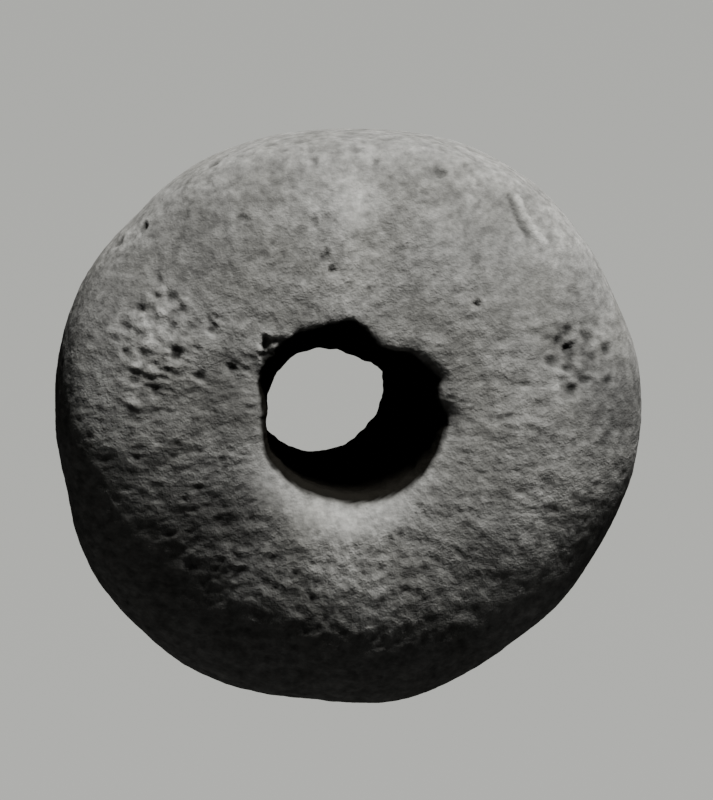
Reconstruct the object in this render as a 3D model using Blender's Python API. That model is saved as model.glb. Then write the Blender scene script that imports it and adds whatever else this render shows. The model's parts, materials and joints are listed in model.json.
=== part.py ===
"""Stone spindle whorl: a thick, nearly round stone with a hole through its middle.

Metres, +Z up. The whorl lies on the worn flat ring of its underside, at Z = 0.
+X and +Y run to the right and to the top of its upper face, and the origin is
below the middle of its outline. The body starts as a torus. Each of its points
has a bearing round the stone and a turn round the section, and these two place
it on the outline, a face, a funnel or the bore.
"""

import math

import bmesh
import bpy

# The body
DIAMETER = 0.0420
THICKNESS = 0.0160
SHOULDER_FULLNESS = 2.6
REST_WEAR = 0.00012

# The bore, which leans a little
BORE_DIAMETER = 0.0097
BORE_CENTRE = (-0.00164, 0.00084)
BORE_LEAN = (0.092, -0.127)

# Swells and flats of the bore: bearing, half width (degrees), share of its radius
BORE_SWELLS = (
    (62, 42, -0.095),
    (128, 36, 0.050),
)

# The funnel that opens the bore to the upper face
MOUTH_DIAMETER = 0.0124
MOUTH_CENTRE = (0.0, 0.00142)
FUNNEL_DEPTH = 0.0048
LIP_DROP = 0.00075
CREST_SETBACK = 0.0022

# Stretches where the dish round the upper mouth is wider and deeper: bearing, half
# width (degrees), added share of its width and depth
DISH_SWELLS = (
    (85, 85, -0.88),
    (258, 80, 0.60),
)

# The funnel that opens the bore to the underside
UNDER_MOUTH_DIAMETER = 0.0120
UNDER_MOUTH_CENTRE = (-0.00140, 0.00100)
UNDER_FUNNEL_DEPTH = 0.0018
UNDER_LIP_DROP = 0.0008
UNDER_CREST_SETBACK = 0.0026

# How much a funnel bulges like a bowl, from 1 for a straight cone
FUNNEL_BOWL = 2.6

# Least wall that a funnel keeps outside the bore, all round
FUNNEL_MARGIN = 0.00005

# The greatest share of the way from a lip to the outline at which a crest lies
CREST_LIMIT = 0.6

# Swells and flats of the outline: bearing, half width (degrees), share of the radius
OUTLINE_SWELLS = (
    (10, 16, 0.006),
    (23, 12, -0.006),
    (52, 30, 0.012),
    (90, 26, -0.024),
    (124, 16, 0.009),
    (156, 26, 0.024),
    (180, 20, 0.008),
    (208, 14, 0.008),
    (212, 20, 0.022),
    (232, 26, 0.030),
    (258, 75, 0.014),
    (264, 18, -0.019),
    (306, 34, -0.034),
    (321, 12, 0.009),
    (332, 22, -0.021),
)

# Swells and nicks of the upper mouth: bearing, half width (degrees), share of its radius
MOUTH_SWELLS = (
    (-14, 20, -0.030),
    (11, 12, -0.120),
    (30, 14, -0.100),
    (54, 28, -0.260),
    (118, 24, 0.090),
    (145, 30, 0.130),
    (212, 34, 0.090),
)

# Swells of the underside's mouth
UNDER_MOUTH_SWELLS = (
    (30, 40, 0.040),
    (150, 50, -0.030),
    (262, 30, 0.060),
)

# Swells of the dish round the underside's mouth
UNDER_DISH_SWELLS = (
    (60, 70, 0.20),
    (230, 60, -0.25),
)

# Stretches where the shoulder is fuller: bearing, half width (degrees), added fullness
SHOULDER_SWELLS = (
    (85, 65, 1.2),
    (180, 40, 1.0),
    (240, 60, -0.5),
    (310, 45, -0.3),
)

# Worn hollows (-) and swells (+) of the upper face: x, y and radius as shares of
# the stone's radius, and depth as a share of the thickness
FACE_WEAR = (
    (-0.72, -0.52, 0.82, -0.062),
    (-1.00, 0.25, 0.70, -0.035),
    (0.10, 1.05, 0.90, -0.060),
    (0.74, 0.26, 0.17, -0.018),
    (0.61, 0.69, 0.15, -0.016),
    (-0.67, 0.33, 0.20, 0.014),
    (-0.45, 0.18, 0.16, -0.014),
    (-0.58, 0.62, 0.18, -0.012),
    (0.42, -0.55, 0.20, -0.010),
    (-0.35, -0.66, 0.16, 0.010),
)

# Worn hollows and swells of the underside
UNDERSIDE_WEAR = (
    (0.66, -0.42, 0.22, -0.020),
    (-0.72, -0.20, 0.20, -0.016),
    (0.05, 0.74, 0.18, -0.014),
    (-0.30, -0.72, 0.16, 0.012),
)

# Mesh: points round the stone, and points in each quarter of the section
POINTS_ROUND = 100
POINTS_IN_QUARTER = 10
DISH_SHARE = 0.3
FUNNEL_SHARE = 0.4
TORUS_RADIUS = DIAMETER / 3
TUBE_RADIUS = DIAMETER / 6

RADIUS = DIAMETER / 2
HALF_THICKNESS = THICKNESS / 2
STONE_COLOUR = (0.23, 0.225, 0.205, 1.0)
STONE_ROUGHNESS = 0.82


def clear_scene():
    """Remove the objects of the scene that the script starts in."""
    for old in list(bpy.data.objects):
        bpy.data.objects.remove(old)


def bell(distance, reach):
    """A smooth bump: 1 in the middle, 0 from reach outwards."""
    if abs(distance) >= reach:
        return 0.0
    return 0.5 + 0.5 * math.cos(math.pi * distance / reach)


def swell(bearing, swells):
    """The sum at a bearing, in radians, of swells given in degrees."""
    total = 0.0
    for middle, half_width, height in swells:
        apart = (math.degrees(bearing) - middle + 180) % 360 - 180
        total += height * bell(apart, half_width)
    return total


def blend(start, end, share):
    """The point, or number, that lies a share of the way from start to end."""
    if isinstance(start, tuple):
        return tuple(blend(a, b, share) for a, b in zip(start, end))
    return start + (end - start) * share


def offset_circle(centre, pole, bearing, radius):
    """How far a circle lies from a pole inside it, along a bearing."""
    east = centre[0] - pole[0]
    north = centre[1] - pole[1]
    along = east * math.cos(bearing) + north * math.sin(bearing)
    across = north * math.cos(bearing) - east * math.sin(bearing)
    return along + math.sqrt(max(radius * radius - across * across, 0.0))


def bore_axis(height):
    """The middle of the leaning bore at a height above the middle plane."""
    return (
        BORE_CENTRE[0] + BORE_LEAN[0] * height,
        BORE_CENTRE[1] + BORE_LEAN[1] * height,
    )


def bore_reach(bearing, height):
    """How far the bore's wall lies from the bore's own middle, at a height."""
    radius = BORE_DIAMETER / 2 * (1 + swell(bearing, BORE_SWELLS))
    return offset_circle(bore_axis(height), BORE_CENTRE, bearing, radius)


def mouth_reach(bearing, face):
    """How far a mouth's lip lies from the bore's middle, and never inside the bore."""
    radius = face["mouth"] / 2 * (1 + swell(bearing, face["mouth_swells"]))
    lip = offset_circle(face["mouth_centre"], BORE_CENTRE, bearing, radius)
    return max(lip, bore_reach(bearing, face["throat"]) + FUNNEL_MARGIN)


def from_bore(bearing, reach):
    """The point at a reach from the bore's middle."""
    return (
        BORE_CENTRE[0] + reach * math.cos(bearing),
        BORE_CENTRE[1] + reach * math.sin(bearing),
    )


def outline_point(bearing):
    """The point of the stone's outline at a bearing."""
    radius = RADIUS * (1 + swell(bearing, OUTLINE_SWELLS))
    return (radius * math.cos(bearing), radius * math.sin(bearing))


def crest_point(bearing, face):
    """The point of a face's crest, set back from the lip towards the outline."""
    lip = from_bore(bearing, mouth_reach(bearing, face))
    edge = outline_point(bearing)
    setback = face["setback"] * (1 + swell(bearing, face["dish_swells"]))
    return blend(lip, edge, min(setback / math.dist(lip, edge), CREST_LIMIT))


def shoulder(bearing, face, share):
    """The rounded side, from the outline (0) over the shoulder to the crest (1)."""
    fullness = SHOULDER_FULLNESS + swell(bearing, SHOULDER_SWELLS)
    angle = share * math.pi / 2
    out = math.cos(angle) ** (2 / fullness) if share < 1 else 0.0
    rise = math.sin(angle) ** (2 / fullness)
    place = blend(crest_point(bearing, face), outline_point(bearing), out)
    return place, face["side"] * face["crest"] * rise


def lip_height(bearing, face):
    """The height of a face's lip, below its crest by the depth of the dish."""
    drop = face["lip_drop"] * (1 + swell(bearing, face["dish_swells"]))
    return face["side"] * (face["crest"] - drop)


def dish(bearing, face, share):
    """The dish round the hole, from the crest (0) down to the lip (1)."""
    lip = from_bore(bearing, mouth_reach(bearing, face))
    place = blend(crest_point(bearing, face), lip, share)
    crest_height = face["side"] * face["crest"]
    return place, blend(crest_height, lip_height(bearing, face), share * share)


def funnel(bearing, face, share):
    """The funnel, from the lip (0) to the throat where the bore begins (1)."""
    height = blend(lip_height(bearing, face), face["throat"], share)
    opening = 1 - share ** FUNNEL_BOWL
    reach = blend(bore_reach(bearing, height), mouth_reach(bearing, face), opening)
    return from_bore(bearing, reach), height


def bore(bearing, face, share):
    """The bore, from the throat (0) to the middle plane (1)."""
    height = blend(face["throat"], 0.0, share)
    return from_bore(bearing, bore_reach(bearing, height)), height


def section_point(bearing, turn):
    """The point at a turn round the section, in quarters from the outline upwards."""
    face = UPPER_FACE if turn <= 2 else UNDERSIDE
    if turn > 2:
        turn = 4 - turn
    if turn <= 1:
        return shoulder(bearing, face, turn)
    inward = turn - 1
    if inward <= DISH_SHARE:
        return dish(bearing, face, inward / DISH_SHARE)
    inward -= DISH_SHARE
    if inward <= FUNNEL_SHARE:
        return funnel(bearing, face, inward / FUNNEL_SHARE)
    return bore(bearing, face, (inward - FUNNEL_SHARE) / (1 - DISH_SHARE - FUNNEL_SHARE))


UPPER_FACE = {
    "side": 1,
    "crest": HALF_THICKNESS,
    "mouth": MOUTH_DIAMETER,
    "mouth_centre": MOUTH_CENTRE,
    "mouth_swells": MOUTH_SWELLS,
    "throat": HALF_THICKNESS - FUNNEL_DEPTH,
    "lip_drop": LIP_DROP,
    "setback": CREST_SETBACK,
    "dish_swells": DISH_SWELLS,
    "wear": FACE_WEAR,
}

UNDERSIDE = {
    "side": -1,
    "crest": HALF_THICKNESS + REST_WEAR,
    "mouth": UNDER_MOUTH_DIAMETER,
    "mouth_centre": UNDER_MOUTH_CENTRE,
    "mouth_swells": UNDER_MOUTH_SWELLS,
    "throat": UNDER_FUNNEL_DEPTH - HALF_THICKNESS,
    "lip_drop": UNDER_LIP_DROP,
    "setback": UNDER_CREST_SETBACK,
    "dish_swells": UNDER_DISH_SWELLS,
    "wear": UNDERSIDE_WEAR,
}


def wear_height(point, normal):
    """How far wear moves a point of a face along its normal."""
    face = UPPER_FACE if normal.z > 0 else UNDERSIDE
    height = 0.0
    for east, north, reach, rise in face["wear"]:
        apart = math.dist((point.x, point.y), (east * RADIUS, north * RADIUS))
        height += rise * THICKNESS * bell(apart, reach * RADIUS)
    return height * abs(normal.z)


def shape_stone(mesh):
    """Move the torus's points on to the whorl, wear it and set it down."""
    shape = bmesh.new()
    shape.from_mesh(mesh)
    for point in shape.verts:
        bearing = math.atan2(point.co.y, point.co.x)
        tube = math.hypot(point.co.x, point.co.y) - TORUS_RADIUS
        turn = math.atan2(point.co.z, tube) / (math.pi / 2) % 4
        turn = round(turn * POINTS_IN_QUARTER) / POINTS_IN_QUARTER % 4
        place, height = section_point(bearing, turn)
        point.co = (*place, height)
    shape.normal_update()
    worn = [(point, wear_height(point.co, point.normal)) for point in shape.verts]
    for point, height in worn:
        point.co += point.normal * height
    for point in shape.verts:
        point.co.z = max(point.co.z, -HALF_THICKNESS) + HALF_THICKNESS
    centre_outline(shape)
    shape.to_mesh(mesh)
    shape.free()


def centre_outline(shape):
    """Slide the stone so that the origin is below the middle of its outline."""
    for axis in (0, 1):
        along = [point.co[axis] for point in shape.verts]
        middle = (min(along) + max(along)) / 2
        for point in shape.verts:
            point.co[axis] -= middle


def stone_material():
    """Dry grey stone."""
    material = bpy.data.materials.new("stone")
    material.use_nodes = True
    shader = material.node_tree.nodes["Principled BSDF"]
    shader.inputs["Base Color"].default_value = STONE_COLOUR
    shader.inputs["Roughness"].default_value = STONE_ROUGHNESS
    shader.inputs["Metallic"].default_value = 0.0
    return material


def make_whorl():
    """The whorl, in the collection named for it."""
    collection = bpy.data.collections.new("stone_spindle_whorl")
    bpy.context.scene.collection.children.link(collection)
    bpy.ops.mesh.primitive_torus_add(
        major_segments=POINTS_ROUND,
        minor_segments=4 * POINTS_IN_QUARTER,
        major_radius=TORUS_RADIUS,
        minor_radius=TUBE_RADIUS,
    )
    whorl = bpy.context.object
    whorl.name = "whorl"
    whorl.data.name = "whorl"
    for holder in list(whorl.users_collection):
        holder.objects.unlink(whorl)
    collection.objects.link(whorl)
    shape_stone(whorl.data)
    whorl.data.shade_smooth()
    whorl.data.materials.append(stone_material())


clear_scene()
make_whorl()
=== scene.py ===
"""The looks of a stone spindle whorl: its grain, pits and wear, its stone, the light,
the pale floor and the camera that looks down on it.

Lengths are in millimetres wherever a name or comment doesn't say otherwise.
"""

import json
import math

import bpy
import numpy as np
from mathutils import Matrix, Vector, noise
from mathutils.bvhtree import BVHTree


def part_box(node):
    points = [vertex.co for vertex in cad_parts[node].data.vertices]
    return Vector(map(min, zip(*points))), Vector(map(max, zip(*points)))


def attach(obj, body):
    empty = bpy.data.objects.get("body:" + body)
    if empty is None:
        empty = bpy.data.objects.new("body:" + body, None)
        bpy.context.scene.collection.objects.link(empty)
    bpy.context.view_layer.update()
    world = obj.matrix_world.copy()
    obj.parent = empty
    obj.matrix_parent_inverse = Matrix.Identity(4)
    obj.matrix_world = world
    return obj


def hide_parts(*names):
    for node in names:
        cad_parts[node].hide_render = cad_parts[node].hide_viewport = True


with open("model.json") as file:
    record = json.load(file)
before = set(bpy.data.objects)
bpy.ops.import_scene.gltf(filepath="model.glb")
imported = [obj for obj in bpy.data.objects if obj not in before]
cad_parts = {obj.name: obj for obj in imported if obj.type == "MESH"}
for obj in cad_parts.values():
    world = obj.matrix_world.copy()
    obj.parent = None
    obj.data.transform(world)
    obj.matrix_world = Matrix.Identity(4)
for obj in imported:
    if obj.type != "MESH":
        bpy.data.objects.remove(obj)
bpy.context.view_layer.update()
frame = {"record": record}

MM = 0.001
LOW, HIGH = (Vector(corner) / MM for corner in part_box("whorl"))
THICKNESS = HIGH.z - LOW.z
MIDDLE = (LOW + HIGH) / 2
HOLE = frame["record"]["physics"]["openings"][0]["box_m"]
HOLE_MIDDLE = (Vector(HOLE[0]) + Vector(HOLE[1])) / 2 / MM

# The photograph's frame, in pixels, and the view of the stone in it
PHOTO_WIDTH = 713
PHOTO_HEIGHT = 800
PIXELS_PER_MM = 13.88
STONE_MIDDLE = (348.5, 418.5)
CAMERA_TILT = math.radians(9.0)
CAMERA_BEARING = math.radians(112.7)
CAMERA_DISTANCE = 420.0

# The stone's mesh: points round it, points in each row round its section, the rays
# that find a row, and how often the points are averaged round the stone and along rows
ROUND = 600
SECTION = 160
RAYS = 256
SMOOTHING_ROUND = 14
SMOOTHING_ALONG = 5

# How closely a row's points lie: closest where the section faces up, and elsewhere
# down to SPARSEST of that; the first two set where the change lies
UPPER_SPREAD = 1.6
UPPER_OFFSET = 0.35
SPARSEST = 0.5

# How far the floor lies below the stone's flat ring
FLOOR_GAP = 0.02

# The chipped wall of the bore: size of its lumps, their height and their seed
BORE_LUMPS = (0.8, 0.12, 8)

# How far the stone's wall turns to the hole where the bore's painted shadow starts and where it is
# full
PAINTED_SHADOW_START = 0.40
PAINTED_SHADOW_FULL = 0.62

# The grain is longer from left to right: how much its places are pressed together
RIPPLE_STRETCH = (0.75, 1.0, 1.0)

# Layers of relief: size of the lumps, their height and their seed
SWELLS = ((6.0, 0.10, 1), (2.6, 0.05, 2))
GRAINS = ((0.95, 0.042, 3), (0.55, 0.034, 4))
FINE_GRAIN = (0.32, 0.018, 6)
UNEVEN_SIZE = 0.55
UNEVEN_SEED = 7

# Small pits scattered all over: distance apart, seed, reach as a share of that
# distance, depth, and how much their outlines vary
PECK_SPACING = 0.8
PECK_SEED = 5
PECK_REACH = 0.42
PECK_DEPTH = 0.055
PECK_RAGGED = 0.7

# How ragged the outlines of the placed pits and of the ridge are, as a share of their
# radius, how much of the grain the smooth spots lose, and the reach of the cavities
SPOT_RAGGED = 0.7
RIDGE_RAGGED = 0.3
POLISH = 0.8
CAVITY_SMOOTHING = 12

# Places on the stone, by the pixel of the photograph that shows them.
# Smooth worn spots, which are also painted paler as painted light: x, y, radius in pixels, how
# smooth from 0 to 1
SMOOTH_AND_PAINTED_LIGHT_SPOTS = (
    (252, 482, 22, 0.6),
    (272, 500, 28, 0.8),
    (310, 518, 32, 1.0),
    (350, 522, 34, 1.0),
    (388, 510, 28, 0.9),
    (358, 212, 30, 1.0),
    (350, 180, 20, 0.6),
    (378, 258, 20, 0.6),
    (470, 230, 70, 0.5),
    (520, 300, 60, 0.4),
    (470, 420, 40, 0.4),
)

# Rough spots, where the grain stands out more: x, y, radius in pixels, added share
ROUGH_SPOTS = (
    (572, 358, 62, 1.6),
    (606, 352, 40, 1.2),
    (618, 420, 60, 0.9),
    (150, 340, 85, 0.7),
    (120, 245, 55, 0.9),
    (190, 195, 60, 0.7),
    (320, 150, 60, 0.4),
    (450, 165, 70, 0.5),
    (350, 600, 190, 0.5),
    (190, 540, 120, 0.4),
)

# Paler (+) and darker (-) patches: partly the stone's own mottling, partly painted light and
# painted shade; x, y, radius in pixels, strength
TINTS_AND_PAINTED_LIGHT = (
    (355, 205, 48, 0.40),
    (355, 280, 60, 0.45),
    (325, 258, 24, -0.25),
    (375, 250, 26, 0.20),
    (355, 135, 150, -0.30),
    (255, 170, 110, -0.30),
    (180, 235, 110, -0.45),
    (90, 310, 90, -0.50),
    (228, 400, 60, -0.40),
    (225, 520, 90, -0.50),
    (340, 520, 70, 0.18),
    (350, 555, 80, 0.35),
    (500, 410, 80, 0.25),
    (560, 510, 90, 0.45),
    (520, 590, 80, 0.35),
    (572, 358, 58, -0.40),
    (562, 336, 13, -0.70),
    (585, 338, 12, -0.50),
    (552, 362, 11, -0.60),
    (570, 352, 11, -0.60),
    (564, 372, 10, -0.45),
    (580, 378, 12, -0.60),
    (568, 390, 13, -0.70),
    (590, 362, 11, -0.50),
    (606, 348, 11, -0.60),
    (608, 380, 13, -0.60),
    (575, 365, 8, 0.40),
    (556, 384, 9, 0.40),
    (596, 372, 8, 0.35),
    (622, 400, 80, -0.75),
    (585, 290, 60, -0.35),
    (553, 240, 16, -0.25),
    (500, 225, 80, -0.30),
    (440, 165, 60, -0.25),
    (150, 350, 45, 0.30),
)

# The ridge at the upper right, with a groove along its inner side; a painted highlight along the
# ridge and painted shade in the groove
RIDGE = ((518, 196), (522, 208), (528, 220), (536, 232), (544, 242))
RIDGE_RADIUS = 6
RIDGE_HEIGHT = 0.13
GROOVE = ((509, 195), (514, 209), (519, 222), (527, 234))
GROOVE_RADIUS = 5
GROOVE_DEPTH = 0.12
RIDGE_PAINTED_HIGHLIGHT = 0.30
GROOVE_PAINTED_SHADE = 0.30

# Pits: x, y, radius in pixels, depth in millimetres
PITS = (
    (569, 332, 9, 0.22),
    (556, 343, 8, 0.16),
    (566, 349, 9, 0.18),
    (586, 335, 8, 0.14),
    (551, 360, 8, 0.15),
    (568, 366, 9, 0.18),
    (582, 379, 9, 0.17),
    (569, 390, 9, 0.20),
    (607, 347, 7, 0.14),
    (607, 381, 7, 0.14),
    (592, 358, 8, 0.14),
    (477, 304, 6, 0.42),
    (160, 281, 6, 0.13),
    (172, 297, 8, 0.16),
    (138, 311, 8, 0.14),
    (174, 328, 9, 0.17),
    (155, 335, 6, 0.12),
    (124, 330, 8, 0.16),
    (174, 352, 10, 0.19),
    (127, 354, 8, 0.14),
    (168, 369, 8, 0.14),
    (137, 379, 8, 0.14),
    (155, 389, 9, 0.16),
    (231, 369, 8, 0.16),
    (202, 378, 8, 0.16),
    (215, 330, 8, 0.14),
    (242, 217, 8, 0.16),
    (315, 222, 6, 0.14),
    (325, 258, 9, 0.22),
    (331, 269, 6, 0.16),
    (312, 160, 8, 0.14),
    (285, 157, 6, 0.12),
    (141, 229, 10, 0.26),
    (119, 243, 9, 0.24),
    (130, 236, 7, 0.20),
    (212, 164, 9, 0.22),
    (224, 156, 6, 0.18),
    (375, 160, 7, 0.12),
    (440, 172, 9, 0.14),
    (465, 165, 8, 0.14),
    (269, 344, 10, 0.40),
    (265, 355, 8, 0.30),
)

# Raised pale grains: x, y, radius in pixels, height in millimetres
LUMPS = (
    (160, 290, 8, 0.16),
    (148, 301, 8, 0.16),
    (183, 301, 8, 0.14),
    (160, 315, 9, 0.16),
    (142, 326, 8, 0.14),
    (149, 346, 9, 0.16),
    (137, 365, 8, 0.16),
    (152, 372, 8, 0.14),
    (134, 404, 9, 0.14),
    (272, 358, 6, 0.16),
    (575, 352, 6, 0.14),
    (560, 374, 7, 0.14),
    (592, 345, 6, 0.12),
)


def camera_matrix():
    """The camera, tilted from straight above, with the photograph's up as +Y."""
    away = Vector((
        math.sin(CAMERA_TILT) * math.cos(CAMERA_BEARING),
        math.sin(CAMERA_TILT) * math.sin(CAMERA_BEARING),
        math.cos(CAMERA_TILT),
    ))
    up = (Vector((0, 1, 0)) - away * away.y).normalized()
    right = up.cross(away)
    aside = (PHOTO_WIDTH / 2 - STONE_MIDDLE[0]) / PIXELS_PER_MM
    above = (STONE_MIDDLE[1] - PHOTO_HEIGHT / 2) / PIXELS_PER_MM
    aim = MIDDLE + right * aside + up * above
    place = aim + away * CAMERA_DISTANCE
    turn = Matrix((right, up, away)).transposed().to_4x4()
    return Matrix.Translation(place) @ turn


CAMERA = camera_matrix()


def pixel_ray(x, y):
    """The camera's place, and the direction in which it sees a pixel."""
    across = (x - PHOTO_WIDTH / 2) / PIXELS_PER_MM
    upward = (PHOTO_HEIGHT / 2 - y) / PIXELS_PER_MM
    seen = CAMERA.to_3x3() @ Vector((across, upward, -CAMERA_DISTANCE))
    return CAMERA.translation, seen.normalized()


def solid_tree():
    """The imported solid, for rays to meet, in millimetres."""
    mesh = bpy.data.objects["whorl"].data
    points = [point.co / MM for point in mesh.vertices]
    faces = [tuple(face.vertices) for face in mesh.polygons]
    return BVHTree.FromPolygons(points, faces)


SOLID = solid_tree()


def seen_point(x, y):
    """The point of the stone that the camera sees at a pixel."""
    place, direction = pixel_ray(x, y)
    return SOLID.ray_cast(place, direction)[0]


def section_middle(out):
    """The middle of the stone's section in a direction from the hole."""
    hole = Vector((HOLE_MIDDLE.x, HOLE_MIDDLE.y, THICKNESS / 2))
    wall = SOLID.ray_cast(hole, out)[3]
    far = 2 * THICKNESS
    rim = far - SOLID.ray_cast(hole + out * far, -out)[3]
    return hole + out * (wall + rim) / 2


def row_weight(turn):
    """How closely the rows lie at a turn round the section: closest on the upper face."""
    upper = np.clip(np.sin(turn) * UPPER_SPREAD + UPPER_OFFSET, 0, 1)
    return SPARSEST + (1 - SPARSEST) * upper


def section_row(bearing):
    """The points round the solid's section in one direction from the hole."""
    out = Vector((math.cos(bearing), math.sin(bearing), 0))
    middle = section_middle(out)
    turns = np.arange(RAYS) * 2 * math.pi / RAYS
    met = []
    for turn in turns:
        ray = out * math.cos(turn) + Vector((0, 0, math.sin(turn)))
        met.append(SOLID.ray_cast(middle, ray)[0])
    met = np.array(met)
    closed = np.vstack([met, met[:1]])
    steps = np.linalg.norm(np.diff(closed, axis=0), axis=1) * row_weight(turns)
    along = np.concatenate([[0], np.cumsum(steps)])
    wanted = np.arange(SECTION) * along[-1] / SECTION
    return np.stack([np.interp(wanted, along, closed[:, axis]) for axis in range(3)], axis=1)


def smoothed(grid, around, along):
    """A grid averaged with its neighbours a number of times, round it and along its rows."""
    for axis, times in ((0, around), (1, along)):
        for _ in range(times):
            grid = (np.roll(grid, 1, axis) + 2 * grid + np.roll(grid, -1, axis)) / 4
    return grid


def normals(grid):
    """The outward normals of the grid of points."""
    around = np.roll(grid, -1, 0) - np.roll(grid, 1, 0)
    along = np.roll(grid, -1, 1) - np.roll(grid, 1, 1)
    crossed = np.cross(around, along)
    return crossed / np.linalg.norm(crossed, axis=2, keepdims=True)


def noise_field(grid, size, seed):
    """Smooth noise between -1 and 1 at each point, with lumps of a size."""
    shift = Vector((seed * 17.3, seed * 5.9, seed * 11.7))
    flat = grid.reshape(-1, 3) / size
    values = [noise.noise(Vector(point) + shift) for point in flat]
    return np.array(values).reshape(grid.shape[:2])


def cell_field(grid, size, seed):
    """Distance, in cells, to the nearest of points scattered a size apart."""
    shift = Vector((seed * 13.1, seed * 7.7, seed * 3.3))
    flat = grid.reshape(-1, 3) / size
    values = [noise.voronoi(Vector(point) + shift)[0][0] for point in flat]
    return np.array(values).reshape(grid.shape[:2])


def bell(distance, reach):
    """A smooth bump: 1 in the middle, 0 from reach outwards."""
    return np.where(distance < reach, 0.5 + 0.5 * np.cos(np.pi * distance / reach), 0)


def step(values, start, end):
    """A smooth step from 0 at start to 1 at end."""
    share = np.clip((values - start) / (end - start), 0, 1)
    return share * share * (3 - 2 * share)


def spots(grid, places, ragged=0.0):
    """The sum of bumps at places given by pixel, radius in pixels and height."""
    total = np.zeros(grid.shape[:2])
    for x, y, radius, height in places:
        centre = np.array(seen_point(x, y))
        reach = radius / PIXELS_PER_MM
        distance = np.linalg.norm(grid - centre, axis=2) + ragged * reach
        total += height * bell(np.abs(distance), reach)
    return total


def line_bump(grid, places, radius, ragged):
    """A bump with a height of 1 along a line through places given by pixel."""
    stops = [np.array(seen_point(x, y)) for x, y in places]
    nearest = np.full(grid.shape[:2], np.inf)
    for start, end in zip(stops, stops[1:]):
        along = end - start
        share = np.clip((grid - start) @ along / (along @ along), 0, 1)
        foot = start + share[:, :, None] * along
        nearest = np.minimum(nearest, np.linalg.norm(grid - foot, axis=2))
    reach = radius / PIXELS_PER_MM
    return bell(np.abs(nearest + ragged * reach), reach)


def layers(grid, sizes):
    """The sum of noise with the size, height and seed of each layer."""
    return sum(height * noise_field(grid, size, seed) for size, height, seed in sizes)


def relief(grid, smooth_and_painted_light):
    """The height of the stone's grain, pits, ridge and lumps at each point."""
    rough = (1 - POLISH * smooth_and_painted_light) * (1 + spots(grid, ROUGH_SPOTS))
    rippled = grid * np.array(RIPPLE_STRETCH)
    uneven = noise_field(grid, UNEVEN_SIZE, UNEVEN_SEED)
    pecked = cell_field(rippled, PECK_SPACING, PECK_SEED) * (1 + PECK_RAGGED * uneven)
    pecks = PECK_DEPTH * bell(pecked, PECK_REACH)
    grain = layers(rippled, GRAINS) + layers(grid, (FINE_GRAIN,)) - pecks
    height = layers(grid, SWELLS) + rough * grain
    ragged = RIDGE_RAGGED * uneven
    height += RIDGE_HEIGHT * line_bump(grid, RIDGE, RIDGE_RADIUS, ragged)
    height -= GROOVE_DEPTH * line_bump(grid, GROOVE, GROOVE_RADIUS, ragged)
    ragged = SPOT_RAGGED * uneven
    return height - spots(grid, PITS, ragged) + spots(grid, LUMPS, ragged)


def painted_shadow_bore(inward):
    """Where the hole's wall is painted near-black as painted shadow: all that lies deeper than
    either lip.
    """
    wall = step(inward, PAINTED_SHADOW_START, PAINTED_SHADOW_FULL)
    half = SECTION // 2
    from_top = np.maximum.accumulate(wall[:, :half], axis=1)
    from_below = np.maximum.accumulate(wall[:, :half - 1:-1], axis=1)[:, ::-1]
    return np.concatenate([from_top, from_below], axis=1)


def facing_hole(grid, outward):
    """How far each point's normal turns to the middle of the hole, from -1 to 1."""
    from_hole = grid[:, :, :2] - np.array(HOLE_MIDDLE[:2])
    inward = -(from_hole * outward[:, :, :2]).sum(axis=2)
    return inward / np.linalg.norm(from_hole, axis=2)


def tints_and_painted_light(grid):
    """How much paler (+) or darker (-) each point is painted: the stone's own mottling, painted
    light and shade, a painted highlight on the ridge and painted shade in the groove.
    """
    # A painted highlight along the ridge and painted shade in its groove
    pale = RIDGE_PAINTED_HIGHLIGHT * line_bump(grid, RIDGE, RIDGE_RADIUS, 0)
    groove_shade = GROOVE_PAINTED_SHADE * line_bump(grid, GROOVE, GROOVE_RADIUS, 0)
    return spots(grid, TINTS_AND_PAINTED_LIGHT) + pale - groove_shade


def grid_mesh(grid, values):
    """The closed mesh through a grid of points, with named values at its points."""
    corner = np.arange(ROUND * SECTION).reshape(ROUND, SECTION)
    beside = np.roll(corner, -1, 0)
    quads = np.stack([corner, beside, np.roll(beside, -1, 1), np.roll(corner, -1, 1)], axis=2)
    mesh = bpy.data.meshes.new("worn_stone")
    mesh.from_pydata((grid * MM).reshape(-1, 3).tolist(), [], quads.reshape(-1, 4).tolist())
    for name, field in values.items():
        layer = mesh.attributes.new(name, "FLOAT", "POINT")
        layer.data.foreach_set("value", field.astype(np.float32).ravel())
    mesh.shade_smooth()
    return mesh


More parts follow.
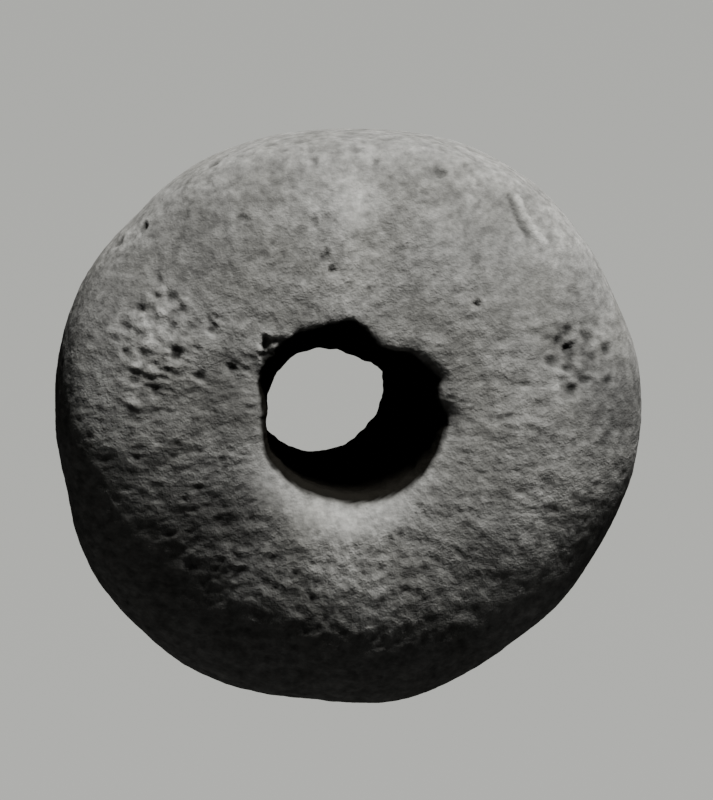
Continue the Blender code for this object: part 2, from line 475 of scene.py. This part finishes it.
def make_whorl():
    """The stone: the solid's form on an even grid, with its relief."""
    bearings = np.arange(ROUND) * 2 * math.pi / ROUND
    grid = np.array([section_row(bearing) for bearing in bearings])
    grid = smoothed(grid, SMOOTHING_ROUND, SMOOTHING_ALONG)
    outward = normals(grid)
    smooth_and_painted_light = np.clip(spots(grid, SMOOTH_AND_PAINTED_LIGHT_SPOTS), 0, 1)
    # The bore: where the hole's wall gets chipped lumps and its near-black painted shadow
    bore = painted_shadow_bore(facing_hole(grid, outward))
    # The stone's own mottling together with painted light and shade
    tint_and_painted_light = tints_and_painted_light(grid)
    height = relief(grid, smooth_and_painted_light) + bore * layers(grid, (BORE_LUMPS,))
    # Hollows and rises of the relief, which the material paints as shade and paleness
    cavity_shade = height - smoothed(height, CAVITY_SMOOTHING, CAVITY_SMOOTHING)
    grid = grid + outward * height[:, :, None]
    grid[:, :, 2] = np.maximum(grid[:, :, 2], LOW.z)
    mesh = grid_mesh(grid, {"cavity_shade": cavity_shade, "smooth_and_painted_light": smooth_and_painted_light, "tint_and_painted_light": tint_and_painted_light, "bore": bore})
    stone = bpy.data.objects.new("worn_stone", mesh)
    bpy.context.scene.collection.objects.link(stone)
    mesh.materials.append(stone_material())
    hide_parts("whorl")
    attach(stone, "root")


# A mix node's sockets for its two colours and for the mixed one
MIX_COLOURS = (6, 7)
MIX_RESULT = 2


class Nodes:
    """Adds and links the nodes of one material."""

    def __init__(self, name):
        self.material = bpy.data.materials.new(name)
        self.material.use_nodes = True
        self.tree = self.material.node_tree
        self.shader = self.tree.nodes["Principled BSDF"]

    def add(self, kind, inputs=None, **settings):
        node = self.tree.nodes.new(kind)
        for key, value in settings.items():
            setattr(node, key, value)
        for key, value in (inputs or {}).items():
            self.feed(node.inputs[key], value)
        return node

    def feed(self, socket, value):
        if isinstance(value, bpy.types.NodeSocket):
            self.tree.links.new(value, socket)
        else:
            socket.default_value = value

    def attribute(self, name):
        return self.add("ShaderNodeAttribute", attribute_name=name).outputs["Fac"]

    def noise(self, place, size, detail=2.0):
        inputs = {"Vector": place, "Scale": 1 / size, "Detail": detail}
        return self.add("ShaderNodeTexNoise", inputs).outputs["Fac"]

    def ranged(self, value, start, end, low, high):
        inputs = {"Value": value, "From Min": start, "From Max": end, "To Min": low, "To Max": high}
        return self.add("ShaderNodeMapRange", inputs).outputs["Result"]

    def maths(self, operation, first, second):
        return self.add("ShaderNodeMath", {0: first, 1: second}, operation=operation).outputs[0]

    def distance(self, place, centre):
        inputs = {0: place, 1: centre}
        return self.add("ShaderNodeVectorMath", inputs, operation="DISTANCE").outputs["Value"]

    def mix(self, share, first, second, blend="MIX"):
        node = self.add("ShaderNodeMix", data_type="RGBA", blend_type=blend)
        self.feed(node.inputs["Factor"], share)
        self.feed(node.inputs[MIX_COLOURS[0]], first)
        self.feed(node.inputs[MIX_COLOURS[1]], second)
        return node.outputs[MIX_RESULT]


# The stone's colours, and the near-black painted shadow of its bore
DARK_STONE = (0.33, 0.325, 0.30, 1)
PALE_STONE = (0.42, 0.415, 0.39, 1)
BORE_PAINTED_SHADOW = (0.010, 0.009, 0.007, 1)

# Mottling of the stone: size of its spots, detail, darkest and palest share
MOTTLE_SIZE = 5.0
SPECKLES = ((0.7, 3.0, 0.72, 1.26), (0.28, 2.0, 0.86, 1.12), (1.6, 2.0, 0.84, 1.14))

# The tone of painted shade in a cavity and the paler tone of a raised grain, and how deep and high
# they lie
CAVITY_DEPTHS = (-0.10, 0.06)
CAVITY_SHADE_TONES = (0.45, 1.20)
# How much paler the smooth spots are painted, as painted light
SMOOTH_SPOT_PAINTED_LIGHT = 1.25

# Roughness, shine and bump of the plain stone, and of its smooth spots or its bore
ROUGHNESS = (0.86, 0.66)
SHINE = (0.3, 0.04)
BUMP_STRENGTH = (0.9, 0.3)
BUMP_HEIGHT = 0.06
BUMP_SIZES = (0.32, 0.14)


def stone_material():
    """Dry grey stone: mottled, with pale grains, painted shade in its pits, painted light and shade
    in its tints and smooth spots, and a near-black painted shadow in its bore.
    """
    make = Nodes("stone")
    object_place = make.add("ShaderNodeTexCoord").outputs["Object"]
    in_mm = {0: object_place, "Scale": 1 / MM}
    place = make.add("ShaderNodeVectorMath", in_mm, operation="SCALE").outputs[0]
    smooth_and_painted_light = make.attribute("smooth_and_painted_light")
    bore = make.attribute("bore")
    mottle = make.ranged(make.noise(place, MOTTLE_SIZE, 3.0), 0.35, 0.65, 0, 1)
    # Painted shade in the relief's hollows, paler tone on its rises
    tone = make.ranged(make.attribute("cavity_shade"), *CAVITY_DEPTHS, *CAVITY_SHADE_TONES)
    for size, detail, dark, pale in SPECKLES:
        speckle = make.ranged(make.noise(place, size, detail), 0.3, 0.7, dark, pale)
        tone = make.maths("MULTIPLY", tone, speckle)
    # Painted light: the smooth spots are made paler
    tone = make.maths("MULTIPLY", tone, make.ranged(smooth_and_painted_light, 0, 1, 1, SMOOTH_SPOT_PAINTED_LIGHT))
    # Mottling with painted light and shade, as a factor on the tone
    tint_and_painted_light_factor = make.maths("POWER", math.e, make.attribute("tint_and_painted_light"))
    tone = make.maths("MULTIPLY", tone, tint_and_painted_light_factor)
    coloured = make.mix(1.0, make.mix(mottle, DARK_STONE, PALE_STONE), tone, "MULTIPLY")
    # The bore's colour is painted shadow: near-black inside the hole
    make.feed(make.shader.inputs["Base Color"], make.mix(bore, coloured, BORE_PAINTED_SHADOW))
    make.feed(make.shader.inputs["Roughness"], make.ranged(smooth_and_painted_light, 0, 1, *ROUGHNESS))
    make.feed(make.shader.inputs["Specular IOR Level"], make.ranged(bore, 0, 1, *SHINE))
    coarse = make.noise(place, BUMP_SIZES[0], 3.0)
    fine = make.maths("MULTIPLY", make.noise(place, BUMP_SIZES[1], 2.0), 0.5)
    bumps = {"Height": make.maths("ADD", coarse, fine), "Distance": BUMP_HEIGHT * MM}
    bump = make.add("ShaderNodeBump", bumps)
    make.feed(bump.inputs["Strength"], make.ranged(smooth_and_painted_light, 0, 1, *BUMP_STRENGTH))
    make.feed(make.shader.inputs["Normal"], bump.outputs["Normal"])
    return make.material


# The floor: its glow, how dark its painted shadow is close under the stone, where that painted
# shadow starts and ends outside and inside the stone's foot, and the glow's change up the picture
FLOOR_SIZE = 4.0
FLOOR_COLOUR = (0.54, 0.545, 0.515, 1)
PAINTED_SHADOW_TONE = 0.35
PAINTED_SHADOW_OUTSIDE = (14.0, 19.0)
PAINTED_SHADOW_INSIDE = (7.5, 9.0)
GLOW_REACH = 28.0
GLOW_CHANGE = (0.96, 1.05)


def make_floor():
    """An evenly pale glowing floor, with a painted shadow only close under the stone's overhang."""
    bpy.ops.mesh.primitive_plane_add(size=FLOOR_SIZE)
    floor = bpy.context.object
    floor.name = "floor"
    floor.location.z = -FLOOR_GAP * MM
    make = Nodes("floor")
    place = make.add("ShaderNodeTexCoord").outputs["Object"]
    from_stone = make.distance(place, (MIDDLE.x * MM, MIDDLE.y * MM, 0))
    from_hole = make.distance(place, (HOLE_MIDDLE.x * MM, HOLE_MIDDLE.y * MM, 0))
    # The painted shadow under the overhang, fading out past the stone's edge and towards the hole
    start, end = (reach * MM for reach in PAINTED_SHADOW_OUTSIDE)
    outer_painted_shadow = make.ranged(from_stone, start, end, PAINTED_SHADOW_TONE, 1.0)
    start, end = (reach * MM for reach in PAINTED_SHADOW_INSIDE)
    inner_painted_shadow = make.ranged(from_hole, start, end, 1.0, PAINTED_SHADOW_TONE)
    north = make.add("ShaderNodeSeparateXYZ", {0: place}).outputs["Y"]
    change = make.ranged(north, GLOW_REACH * MM, -GLOW_REACH * MM, *GLOW_CHANGE)
    glow = make.maths("MULTIPLY", make.maths("MAXIMUM", outer_painted_shadow, inner_painted_shadow), change)
    emission = make.add("ShaderNodeEmission", {"Color": FLOOR_COLOUR, "Strength": glow})
    output = make.tree.nodes["Material Output"]
    make.tree.links.new(emission.outputs[0], output.inputs["Surface"])
    floor.data.materials.append(make.material)
    floor.visible_diffuse = False
    floor.visible_glossy = False
    floor.visible_shadow = False


# Lights: bearing and rise in degrees, distance and size in metres, power in watts
KEY = (76, 15, 0.6, 0.16, 6.6)
FILL = (260, 4, 0.6, 0.5, 0.12)
SKY_STRENGTH = 0.012


def area_light(name, bearing, rise, distance, size, power):
    """A round soft light that shines on the stone from a bearing and a rise in degrees."""
    light = bpy.data.lights.new(name, "AREA")
    light.shape = "DISK"
    light.size = size
    light.energy = power
    lamp = bpy.data.objects.new(name, light)
    flat = math.cos(math.radians(rise))
    direction = Vector((
        flat * math.cos(math.radians(bearing)),
        flat * math.sin(math.radians(bearing)),
        math.sin(math.radians(rise)),
    ))
    lamp.location = MIDDLE * MM + direction * distance
    lamp.rotation_euler = direction.to_track_quat("Z", "Y").to_euler()
    bpy.context.scene.collection.objects.link(lamp)


def make_lights():
    """A soft key from the top of the picture, and a weak fill from its foot."""
    area_light("key", *KEY)
    area_light("fill", *FILL)
    world = bpy.data.worlds.new("studio")
    world.use_nodes = True
    sky = world.node_tree.nodes["Background"]
    sky.inputs["Color"].default_value = (1, 1, 1, 1)
    sky.inputs["Strength"].default_value = SKY_STRENGTH
    bpy.context.scene.world = world


def make_camera():
    """The camera of the photograph's view."""
    data = bpy.data.cameras.new("camera")
    data.sensor_fit = "VERTICAL"
    data.sensor_height = 24.0
    data.lens = data.sensor_height * CAMERA_DISTANCE * PIXELS_PER_MM / PHOTO_HEIGHT
    data.clip_start = 0.01
    camera = bpy.data.objects.new("camera", data)
    placed = CAMERA.copy()
    placed.translation = CAMERA.translation * MM
    camera.matrix_world = placed
    bpy.context.scene.collection.objects.link(camera)
    bpy.context.scene.camera = camera


bpy.context.scene.view_settings.view_transform = "AgX"
make_camera()
make_floor()
make_lights()
make_whorl()
